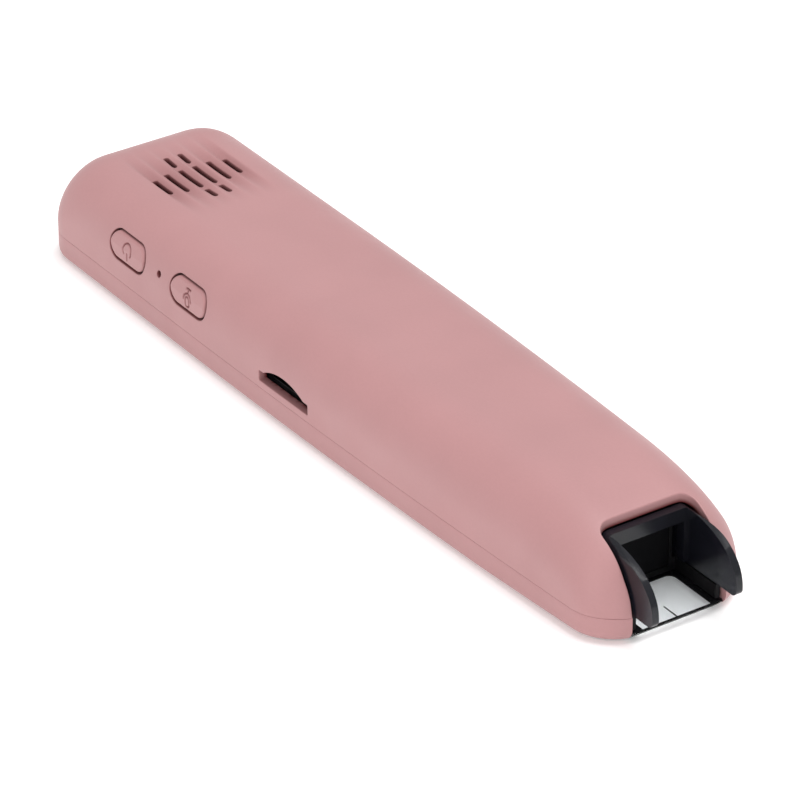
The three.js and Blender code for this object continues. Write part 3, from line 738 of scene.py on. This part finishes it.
def pane_skin():
    soup = Soup()
    edge, top = PANE["edge"], PANE["top"]
    rows = []
    for shrink, z in ((edge, 0.0), (edge * 0.3, edge * 0.3), (0, edge), (0, 0.25), (0, 0.45), (0, 0.7),
                      (0, top - edge), (edge * 0.3, top - edge * 0.3), (edge, top)):
        outline = pane_outline(shrink, z)
        rows.append(np.concatenate([outline, np.full((len(outline), 1), z)], 1))
    soup.strip(rows)
    for row in (rows[0], rows[-1]):
        low, high = row[:, :2].min(0), row[:, :2].max(0)
        flat, faces = triangulate([row[:, :2]], grid_of(low[0], high[0], low[1], high[1], 4.0), 1.0)
        soup.patch(np.concatenate([flat, np.full((len(flat), 1), row[0, 2])], 1), faces)
    return soup.build("pane", sharp=15)


# ---- Side keys

KEY_CAP = {"gap": 0.3, "proud": 0.2, "limit": 15.1, "edge": 0.36, "back_y": -11.0, "grid": 0.075}
ICON = {"width": 0.23, "depth": 0.28}


def to_segment(px, pz, ax, az, bx, bz):
    """Distance to the line from (ax, az) to (bx, bz)."""
    dx, dz = bx - ax, bz - az
    t = np.clip(((px - ax) * dx + (pz - az) * dz) / (dx * dx + dz * dz), 0, 1)
    return np.hypot(px - ax - t * dx, pz - az - t * dz)


def to_arc(px, pz, cx, cz, radius, middle, half_span):
    """Distance to an arc centred on direction middle, in degrees."""
    angle = np.degrees(np.arctan2(pz - cz, px - cx)) - middle
    angle = (angle + 180) % 360 - 180
    near = np.abs(np.hypot(px - cx, pz - cz) - radius)
    ends = []
    for side in (-1, 1):
        turn = math.radians(middle + side * half_span)
        ends.append(np.hypot(px - cx - radius * math.cos(turn), pz - cz - radius * math.sin(turn)))
    return np.where(np.abs(angle) <= half_span, near, np.minimum(*ends))


def power_icon(px, pz):
    ring = to_arc(px, pz, 0, 0.15, 1.05, 90, 128)
    return np.minimum(ring, to_segment(px, pz, 0, -0.3, 0, -1.3))


def voice_icon(px, pz):
    capsule = np.abs(to_segment(px, pz, 0, -0.4, 0, -1.0) - 0.48)
    cradle = to_arc(px, pz, 0, -0.4, 0.95, 90, 90)
    stand = to_segment(px, pz, 0, 0.6, 0, 1.15)
    foot = to_segment(px, pz, -0.5, 1.2, 0.5, 1.2)
    return np.minimum(np.minimum(capsule, cradle), np.minimum(stand, foot))


def key_cap(name, x0, icon):
    soup = Soup()
    length = SIDE_KEY["length"] - 2 * KEY_CAP["gap"]
    height = SIDE_KEY["height"] - 2 * KEY_CAP["gap"]
    z0 = SIDE_KEY["z"]
    plain, shrunk = grown_pair(lambda grow: stadium(x0, z0, length, height, grow), -KEY_CAP["edge"], 0.3)

    def dip(flat):
        share = np.clip(1 - icon(flat[:, 0] - x0, flat[:, 1] - z0) / ICON["width"], 0, 1)
        return share * share * (3 - 2 * share)

    def face(flat):
        x, z = flat[:, 0], flat[:, 1]
        out = np.minimum(OUTER.side_y(x, z) + KEY_CAP["proud"], KEY_CAP["limit"])
        return np.stack([x, ICON["depth"] * dip(flat) - out, z], -1)

    low, high = shrunk.min(0), shrunk.max(0)
    flat, faces = triangulate([shrunk], grid_of(low[0], high[0], low[1], high[1], KEY_CAP["grid"]), 0.05)
    # Painted shade in the icon's groove
    soup.patch(face(flat), faces, recess=0.75 * dip(flat))
    corner = face(plain)
    back = np.stack([plain[:, 0], np.full(len(plain), KEY_CAP["back_y"]), plain[:, 1]], -1)
    rim(soup, face(shrunk), corner, back, KEY_CAP["edge"], steps=5)
    # The cap's hidden back is painted fully shaded
    soup.patch(back, [range(len(back))], recess=1)
    return soup.build(name, sharp=38)


# ---- Scan hood

HOOD = {
    "tail_x": 51.0, "half": 7.25, "inner": 6.2, "bottom_z": 4.0, "shoulder": 1.7,
    "rim_start_x": 57.8, "rim_power": 2.25, "rim_foot_z": 5.0, "rim_top_z": 12.42, "tip_x": 70.0,
    "wall_x0": 58.0, "wall_x1": 59.2, "post": 0.45, "aperture_z": 10.3, "edge": 0.42, "post_edge": 0.1,
}


def prism(name, outline, axis, low, high):
    """A closed prism whose outline lies in the two axes other than the given one, in their order."""
    others = [i for i in range(3) if i != axis]
    rows = []
    for value in (low, high):
        row = np.zeros((len(outline), 3))
        row[:, others[0]] = outline[:, 0]
        row[:, others[1]] = outline[:, 1]
        row[:, axis] = value
        rows.append(row)
    soup = Soup()
    soup.strip(rows)
    soup.cap(*rows)
    return soup.build(name)


def block(name, x0, x1, y0, y1, z0, z1):
    return prism(name, np.array([(x0, y0), (x1, y0), (x1, y1), (x0, y1)], float), 2, z0, z1)


def combine(base, tool, operation):
    """Cuts, joins or intersects base with tool, and removes tool."""
    step = base.modifiers.new(operation, "BOOLEAN")
    step.operation = operation
    step.solver = "EXACT"
    step.object = tool
    apply_modifiers(base)
    bpy.data.objects.remove(tool, do_unlink=True)


def apply_modifiers(piece):
    made = bpy.data.meshes.new_from_object(piece.evaluated_get(bpy.context.evaluated_depsgraph_get()))
    piece.modifiers.clear()
    piece.data = made


def soften(piece, width, share_of):
    """Cleans a cut mesh, rounds its edges and shades it smooth.

    share_of gives the share of the width that an edge gets whose middle is at (x, y, z).
    """
    sharp = 35
    work = bmesh.new()
    work.from_mesh(piece.data)
    bmesh.ops.remove_doubles(work, verts=work.verts, dist=WELD * MM)
    bmesh.ops.dissolve_limit(work, angle_limit=math.radians(0.5), verts=work.verts, edges=work.edges)
    weight = work.edges.layers.float.new("bevel_weight_edge")
    for edge in work.edges:
        if len(edge.link_faces) == 2 and edge.calc_face_angle() > math.radians(sharp):
            edge[weight] = share_of(*((edge.verts[0].co + edge.verts[1].co) / 2 / MM))
    work.to_mesh(piece.data)
    work.free()
    bevel = piece.modifiers.new("edges", "BEVEL")
    bevel.width = width * MM
    bevel.segments = 3
    bevel.limit_method = "WEIGHT"
    bevel.use_clamp_overlap = True
    apply_modifiers(piece)
    shade_smooth(piece.data, sharp)
    piece.modifiers.new("weighted", "WEIGHTED_NORMAL").keep_sharp = True
    return piece


def hood_profile():
    """The hood's side view in (x, z), with the cheeks' curved rim."""
    foot = HOOD["rim_foot_z"]
    radius = foot - HOOD["bottom_z"]
    tip = arc_points(HOOD["tip_x"] - radius, foot, radius, -90, 0, 8)
    reach = HOOD["tip_x"] - HOOD["rim_start_x"]
    rise = HOOD["rim_top_z"] - foot
    angles = np.linspace(0, math.pi / 2, 42)[1:]
    share = 2 / HOOD["rim_power"]
    rim_curve = np.stack([
        HOOD["rim_start_x"] + reach * np.maximum(0, np.cos(angles)) ** share,
        foot + rise * np.sin(angles) ** share,
    ], -1)
    tail = np.array([(HOOD["tail_x"], HOOD["rim_top_z"]), (HOOD["tail_x"], HOOD["bottom_z"])])
    return np.concatenate([tip, rim_curve, tail])


def inner_body(name, inset, x0, x1):
    """The closed form of the housing lying inset inside it, between two x, for what hides in the shell."""
    form = Form(inset)
    floor_z, stations, around = 2.0, 24, 41
    rows = []
    for x in np.linspace(x0, x1, stations):
        limit = form.arc_at_z(np.array([x]), floor_z, 1)[0]
        rows.append(form.point(np.full(around, x), np.linspace(-limit, limit, around)))
    soup = Soup()
    soup.strip(rows)
    soup.cap(rows[0], rows[-1])
    return soup.build(name)


def hood_skin():
    ahead, behind, above = 75, 50, 16  # beyond the hood's own ends, for the shapes that cut it
    clearance, slack = 0.05, 0.05
    half, inner, shoulder = HOOD["half"], HOOD["inner"], HOOD["shoulder"]
    low, top = HOOD["bottom_z"] - 1, HOOD["rim_top_z"]
    arch = np.concatenate([
        arc_points(half - shoulder, top - shoulder, shoulder, 0, 90, 9),
        arc_points(shoulder - half, top - shoulder, shoulder, 90, 180, 9),
        [(-half, low), (half, low)],
    ])
    hood = prism("hood_skin", arch, 0, HOOD["tail_x"], HOOD["tip_x"] + 1)
    combine(hood, prism("profile", hood_profile(), 1, -half - 1, half + 1), "INTERSECT")
    combine(hood, block("front_room", HOOD["wall_x1"], ahead, -inner, inner, 0, above), "DIFFERENCE")
    combine(hood, block("rear_room", behind, HOOD["wall_x0"], -inner, inner, 0, above), "DIFFERENCE")
    tuck = inner_body("tuck", WALL + 0.2, HOOD["tail_x"] - 0.5, 64)
    room_half = MOUTH_HALF - clearance
    room = rounded_box(MOUTH_X + clearance, ahead, -room_half, room_half, 0.3, 4)
    combine(tuck, prism("room", room, 2, 0, above), "UNION")
    combine(hood, tuck, "INTERSECT")
    x0, x1, reach = HOOD["wall_x0"], HOOD["wall_x1"], inner - HOOD["post"]
    combine(hood, block("gap", x0 - 1, x1 + 1, -reach, reach, 0, HOOD["aperture_z"]), "DIFFERENCE")

    def share_of(x, y, z):
        across = x0 - slack < x < x1 + slack and abs(y) < inner + slack
        thin = across and z < HOOD["aperture_z"] + slack
        return HOOD["post_edge"] / HOOD["edge"] if thin else 1

    return soften(hood, HOOD["edge"], share_of)


# ---- Return springs of the hood

SPRING = {"x0": 46.45, "x1": 50.85, "y": 6.72, "z": 8.0, "coil": 0.75, "wire": 0.16, "turns": 6.0}


def spring(name, side):
    """A helical spring with closed, ground ends, as one tube along its helix."""
    steps, sides = 260, 10
    wire, turns = SPRING["wire"], SPRING["turns"]
    length = SPRING["x1"] - SPRING["x0"] - 2 * wire
    t = np.linspace(0, 1, steps)
    flat_share = 1 / turns
    pitch = np.interp(t, [0, flat_share, 1 - flat_share, 1], [0.2, 1, 1, 0.2])
    along = np.concatenate([[0], np.cumsum((pitch[1:] + pitch[:-1]) / 2)])
    along = along / along[-1] * length
    angle = 2 * math.pi * turns * t
    centre = np.stack([
        SPRING["x0"] + wire + along,
        side * SPRING["y"] + SPRING["coil"] * np.cos(angle),
        SPRING["z"] + SPRING["coil"] * np.sin(angle),
    ], -1)
    outward = np.stack([0 * t, np.cos(angle), np.sin(angle)], -1)
    ahead = np.gradient(centre, axis=0)
    ahead /= np.linalg.norm(ahead, axis=1, keepdims=True)
    across = np.cross(ahead, outward)
    rows = []
    for i in range(steps):
        turn = np.linspace(0, 2 * math.pi, sides, endpoint=False)[:, None]
        rows.append(centre[i] + wire * (np.cos(turn) * outward[i] + np.sin(turn) * across[i]))
    soup = Soup()
    soup.strip(rows)
    soup.cap(rows[0], rows[-1])
    return soup.build(name, sharp=60)


# ---- Materials

class Nodes:
    """A material's node tree with object coordinates, in short calls."""

    def __init__(self, name):
        self.material = bpy.data.materials.new(name)
        self.material.use_nodes = True
        self.tree = self.material.node_tree
        self.shader = self.tree.nodes["Principled BSDF"]
        self.place = self.tree.nodes.new("ShaderNodeTexCoord").outputs["Object"]

    def set(self, **values):
        for name, value in values.items():
            self.shader.inputs[name.replace("_", " ")].default_value = value

    def link(self, output, name):
        self.tree.links.new(output, self.shader.inputs[name])

    def node(self, kind, links, **values):
        """A new node with its links, by socket name, and its values, with _ for each space."""
        node = self.tree.nodes.new("ShaderNode" + kind)
        for name, value in values.items():
            node.inputs[name.replace("_", " ")].default_value = value
        for name, output in links.items():
            self.tree.links.new(output, node.inputs[name])
        return node

    def noise(self, scale, detail=3.0, roughness=0.55, stretch=(1, 1, 1)):
        spread = self.node("Mapping", {"Vector": self.place}, Scale=stretch).outputs["Vector"]
        node = self.node("TexNoise", {"Vector": spread}, Scale=scale, Detail=detail, Roughness=roughness)
        return node.outputs["Fac"]

    def cells(self, scale, feature="F1"):
        node = self.node("TexVoronoi", {"Vector": self.place}, Scale=scale)
        node.feature = feature
        return node.outputs["Distance"]

    def waves(self, scale, axis):
        node = self.node("TexWave", {"Vector": self.place}, Scale=scale, Distortion=0.0)
        node.bands_direction = axis
        return node.outputs["Fac"]

    def math(self, operation, a, b):
        node = self.node("Math", {})
        node.operation = operation
        for socket, value in zip(node.inputs, (a, b)):
            if isinstance(value, (int, float)):
                socket.default_value = value
            else:
                self.tree.links.new(value, socket)
        return node.outputs[0]

    def remap(self, value, low, high, start=0.0, end=1.0):
        """The value's stretch from start to end, spread over low to high."""
        node = self.node("MapRange", {"Value": value}, From_Min=start, From_Max=end, To_Min=low, To_Max=high)
        return node.outputs["Result"]

    def ramp(self, value, *stops):
        node = self.node("ValToRGB", {"Fac": value})
        ramp = node.color_ramp
        while len(ramp.elements) < len(stops):
            ramp.elements.new(0.5)
        for element, (position, colour) in zip(ramp.elements, stops):
            element.position = position
            element.color = (*colour, 1)
        return node.outputs["Color"]

    def with_painted_shade(self, colour, deep):
        """Painted shade: the colour, turning into the dark one where the mesh's painted shade value rises."""
        attribute = self.node("Attribute", {})
        attribute.attribute_name = "recess"
        mix = self.node("Mix", {})
        mix.data_type = "RGBA"
        factor, first, second = mix.inputs[0], mix.inputs[6], mix.inputs[7]
        self.tree.links.new(attribute.outputs["Fac"], factor)
        self.tree.links.new(colour, first)
        second.default_value = (*deep, 1)
        return mix.outputs[2]

    def colour(self, value, *stops):
        self.link(self.ramp(value, *stops), "Base Color")

    def roughness(self, value, low, high, start=0.3, end=0.7):
        self.link(self.remap(value, low, high, start, end), "Roughness")

    def bump(self, *layers):
        """Layers of (height, distance in millimetres, strength), laid one over the other."""
        previous = None
        for height, distance, strength in layers:
            links = {"Height": height, "Normal": previous} if previous else {"Height": height}
            previous = self.node("Bump", links, Distance=distance * MM, Strength=strength).outputs["Normal"]
        self.link(previous, "Normal")


def shade(colour, factor):
    return tuple(min(1.0, channel * factor) for channel in colour)


def soft_touch(name, colour):
    """Rubber-coated plastic: a fine even grain, faint clouds of colour, a slightly uneven sheen."""
    roughness = 0.52
    m = Nodes(name)
    clouds = m.noise(70, 2.0, 0.5)
    speckle = m.noise(2600, 2.0, 0.6)
    mixed = m.math("ADD", m.math("MULTIPLY", clouds, 0.7), m.math("MULTIPLY", speckle, 0.3))
    skin = m.ramp(mixed, (0.35, shade(colour, 0.965)), (0.65, shade(colour, 1.03)))
    # Painted shade turns the skin dark red in holes, grooves and inside the shell
    m.link(m.with_painted_shade(skin, SHADE_RED), "Base Color")
    m.roughness(m.noise(180, 3.0), roughness - 0.05, roughness + 0.06)
    m.set(Specular_IOR_Level=0.42, Sheen_Weight=0.12, Sheen_Roughness=0.45)
    m.shader.inputs["Sheen Tint"].default_value = (1, 0.9, 0.9, 1)
    m.bump((m.noise(3400, 2.0, 0.5), 0.012, 0.35), (m.noise(420, 2.0), 0.03, 0.18))
    return m.material


def moulded(name, colour, roughness=0.45, grain=900, depth=0.02, specular=0.5):
    """Moulded plastic with a spark-eroded grain."""
    m = Nodes(name)
    m.colour(m.noise(150, 3.0), (0.3, shade(colour, 0.85)), (0.7, shade(colour, 1.2)))
    m.roughness(m.noise(grain * 0.3, 2.0), roughness - 0.07, roughness + 0.07)
    m.set(Specular_IOR_Level=specular)
    m.bump((m.noise(grain, 3.0), depth, 0.3))
    return m.material


def smoky(name):
    """Dark see-through plastic with a fine satin surface."""
    m = Nodes(name)
    m.colour(m.noise(120, 2.0), (0.3, (0.014, 0.015, 0.023)), (0.7, (0.017, 0.018, 0.028)))
    m.roughness(m.noise(260, 3.0), 0.2, 0.23)
    m.set(Transmission_Weight=0.6, IOR=1.45, Specular_IOR_Level=0.35)
    m.bump((m.noise(1500, 2.0), 0.001, 0.1))
    return m.material


def metal(name, colour, roughness=0.3, stretch=(4, 60, 60)):
    """Metal brushed or rolled along one way."""
    m = Nodes(name)
    streaks = m.noise(60, 4.0, 0.6, stretch)
    m.colour(streaks, (0.3, shade(colour, 0.82)), (0.7, shade(colour, 1.1)))
    m.roughness(streaks, roughness - 0.08, roughness + 0.12)
    m.set(Metallic=1.0)
    m.bump((streaks, 0.01, 0.25))
    return m.material


def glass(name, tint):
    roughness = 0.02
    m = Nodes(name)
    m.colour(m.noise(40, 2.0), (0.3, shade(tint, 0.985)), (0.7, tint))
    m.roughness(m.noise(300, 2.0), roughness, roughness + 0.03, 0.45, 0.8)
    m.set(Transmission_Weight=1.0, IOR=1.46)
    return m.material


def circuit(name, mask, trace):
    """Solder mask over copper tracks, with the tracks' rounded step."""
    m = Nodes(name)
    cells = m.cells(700, "DISTANCE_TO_EDGE")
    tracks = m.remap(cells, 0, 1, 0.02, 0.07)
    m.colour(tracks, (0.0, trace), (0.9, mask))
    m.roughness(m.noise(500), 0.3, 0.45)
    m.bump((tracks, 0.03, 0.5))
    return m.material


def woven(name, colour):
    m = Nodes(name)
    weave = m.math("MULTIPLY", m.waves(900, "X"), m.waves(900, "Y"))
    m.colour(weave, (0.1, shade(colour, 0.4)), (0.8, shade(colour, 1.5)))
    m.set(Roughness=0.85)
    m.bump((weave, 0.08, 0.8))
    return m.material


def foam(name, colour):
    m = Nodes(name)
    pores = m.cells(1500)
    m.colour(pores, (0.1, shade(colour, 0.4)), (0.6, shade(colour, 1.3)))
    m.set(Roughness=0.95)
    m.bump((pores, 0.1, 0.8))
    return m.material


PINK = (0.435, 0.226, 0.229)
# The dark red of the painted shade in holes, grooves and inside the shell
SHADE_RED = (0.13, 0.01, 0.01)
BLACK = (0.012, 0.012, 0.013)
STEEL = (0.58, 0.58, 0.59)

# Each slot, the function that makes its material, and what that function is given
LOOKS = (
    ("shell_plastic", soft_touch, PINK),
    ("frame_plastic", soft_touch, PINK),
    ("pane_glass", glass, (0.96, 0.98, 0.99)),
    ("mask_film", moulded, (0.006, 0.006, 0.007), 0.25, 600, 0.004),
    ("display_glass", moulded, (0.012, 0.013, 0.017), 0.12, 300, 0.002),
    ("light_guide", moulded, (0.8, 0.8, 0.78), 0.3, 400, 0.01),
    ("flex_circuit", circuit, (0.36, 0.16, 0.04), (0.5, 0.26, 0.09)),
    ("chassis_steel", metal, STEEL, 0.35),
    ("circuit_board", circuit, (0.008, 0.008, 0.009), (0.02, 0.02, 0.021)),
    ("chip_plastic", moulded, (0.016, 0.016, 0.018), 0.5, 1500, 0.02),
    ("shield_steel", metal, (0.66, 0.66, 0.66), 0.28),
    ("screw_steel", metal, (0.4, 0.4, 0.41), 0.25, (60, 60, 4)),
    ("cell_foil", metal, (0.6, 0.61, 0.63), 0.42, (20, 20, 20)),
    ("foam", foam, (0.03, 0.03, 0.032)),
    ("white_plastic", moulded, (0.75, 0.75, 0.72), 0.4),
    ("black_plastic", moulded, BLACK, 0.42),
    ("cone_film", moulded, (0.025, 0.025, 0.027), 0.3, 500, 0.02),
    ("mesh_fabric", woven, (0.03, 0.022, 0.022)),
    ("switch_steel", metal, STEEL, 0.3),
    ("boot_rubber", foam, (0.03, 0.026, 0.026)),
    ("socket_steel", metal, (0.05, 0.05, 0.052), 0.4),
    ("port_steel", metal, (0.5, 0.5, 0.51), 0.3),
    ("smoke_plastic", smoky),
    ("spring_steel", metal, STEEL, 0.22, (60, 60, 60)),
    ("baffle_plastic", moulded, (0.004, 0.004, 0.005), 0.7, 1200, 0.03, 0.2),
    ("filter_glass", moulded, (0.003, 0.003, 0.004), 0.7, 300, 0.003, 0.12),
    ("camera_board_plate", circuit, (0.006, 0.006, 0.007), (0.012, 0.012, 0.013)),
    ("lens_glass", glass, (0.55, 0.6, 0.75)),
    ("led_resin", moulded, (0.5, 0.46, 0.25), 0.2, 300, 0.004),
)
MATERIALS = {slot: make(slot, *values) for slot, make, *values in LOOKS}


# ---- The pen

def paint(piece, slot):
    piece.data.materials.clear()
    piece.data.materials.append(MATERIALS[slot])


def place(piece, body, slot, *replaced):
    """Gives a finished piece its slot's material and its body, and hides the CAD nodes that it stands for."""
    paint(piece, slot)
    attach(piece, body)
    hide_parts(*replaced)


SLOTS = {entry["node"]: entry["material_slot"] for entry in frame["record"]["subparts"]}
THIN_NODES = ("glass_mask", "speaker_mesh", "display_cable")  # too thin for a rounded edge
NODE_EDGE = 0.08


def finish_node(name, node):
    """A CAD node that stays: its edges rounded a little, and its slot's material."""
    paint(node, SLOTS[name])
    node.modifiers.new("weld", "WELD").merge_threshold = 0.001 * MM
    if name not in THIN_NODES:
        bevel = node.modifiers.new("edges", "BEVEL")
        bevel.width = NODE_EDGE * MM
        bevel.segments = 2
        bevel.limit_method = "ANGLE"
        bevel.angle_limit = math.radians(40)


place(shell_skin(), "housing", "shell_plastic", "rear_shell")
place(frame_skin(), "housing", "frame_plastic", "front_frame")
place(pane_skin(), "housing", "pane_glass", "cover_glass")
place(key_cap("power_cap", KEY_XS["power"], power_icon), "power_key", "shell_plastic", "power_button")
place(key_cap("voice_cap", KEY_XS["voice"], voice_icon), "voice_key", "shell_plastic", "voice_button")
place(hood_skin(), "hood", "smoke_plastic", "scan_hood")
for spring_name, spring_side in (("left", -1), ("right", 1)):
    coil = spring(f"coil_{spring_name}", spring_side)
    place(coil, "housing", "spring_steel", f"hood_spring_{spring_name}")
    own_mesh(coil)
for node_name, cad_node in frame["nodes"].items():
    if not cad_node.hide_render:
        finish_node(node_name, cad_node)


# ---- Floor and light

FLOOR_Z = -0.0002  # just under the pen, so that the two faces don't meet
WORLD_STRENGTH = 0.62


def make_floor():
    mesh = bpy.data.meshes.new("floor")
    size = 3.0
    corners = [(-size, -size, 0), (size, -size, 0), (size, size, 0), (-size, size, 0)]
    mesh.from_pydata(corners, [], [(0, 1, 2, 3)])
    floor = add_object("floor", mesh)
    floor.location.z = FLOOR_Z
    m = Nodes("floor")
    m.colour(m.noise(3, 2.0), (0.3, (0.93, 0.93, 0.93)), (0.7, (0.95, 0.95, 0.95)))
    m.set(Roughness=0.9, Specular_IOR_Level=0.1, Emission_Strength=0.2)
    mesh.materials.append(m.material)


def area_light(name, spot, size, power, colour=(1, 1, 1)):
    """A round soft light at the spot, turned to the origin."""
    data = bpy.data.lights.new(name, "AREA")
    data.shape = "DISK"
    data.size = size
    data.energy = power
    data.color = colour
    light = add_object(name, data)
    light.location = spot
    light.rotation_mode = "QUATERNION"
    light.rotation_quaternion = (-Vector(spot)).to_track_quat("-Z", "Y")


def make_light():
    world = bpy.data.worlds.new("studio")
    world.use_nodes = True
    background = world.node_tree.nodes["Background"]
    background.inputs["Color"].default_value = (1, 1, 1, 1)
    background.inputs["Strength"].default_value = WORLD_STRENGTH
    bpy.context.scene.world = world
    area_light("top", (0.1, 0.15, 0.9), 0.7, 6.2)
    area_light("front", (0.45, -0.75, 0.4), 0.6, 2.3, (1, 0.92, 0.91))


make_floor()
make_light()
bpy.context.scene.view_settings.view_transform = "Standard"
